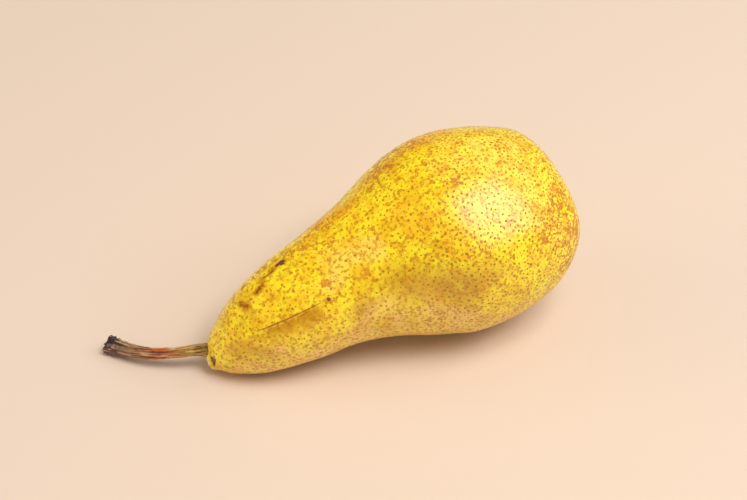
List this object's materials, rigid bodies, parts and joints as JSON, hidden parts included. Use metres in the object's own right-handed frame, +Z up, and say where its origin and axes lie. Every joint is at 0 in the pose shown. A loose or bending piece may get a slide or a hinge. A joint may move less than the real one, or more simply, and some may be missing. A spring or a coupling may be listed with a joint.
{
  "type": "pear",
  "caption": "Ripe yellow pear with a long neck and a curved woody stem, lying on its side, with fine brown speckles and a dried calyx at its blunt end.",
  "frame": {"origin": "centre of the small flat on which the belly rests, at the level of the table", "axes": "+X along the lying fruit from the stem to the calyx, +Y across it, +Z up; -Z is the way the belly presses on the table"},
  "size_m": [0.1599, 0.0689, 0.0689],
  "materials": {
    "pear_skin": "smooth waxy fruit skin, lemon yellow with brown lenticels and patches of orange-brown russet, satin sheen",
    "stem_bark": "dry ridged bark, olive near the fruit, red-brown in the middle and slate-brown at the cut end",
    "dried_sepal": "dried papery sepals, dark brown and matte"
  },
  "bodies": {
    "root": {"pear_body": "pear_skin", "stem": "stem_bark", "calyx": "dried_sepal"}
  },
  "joints": []
}
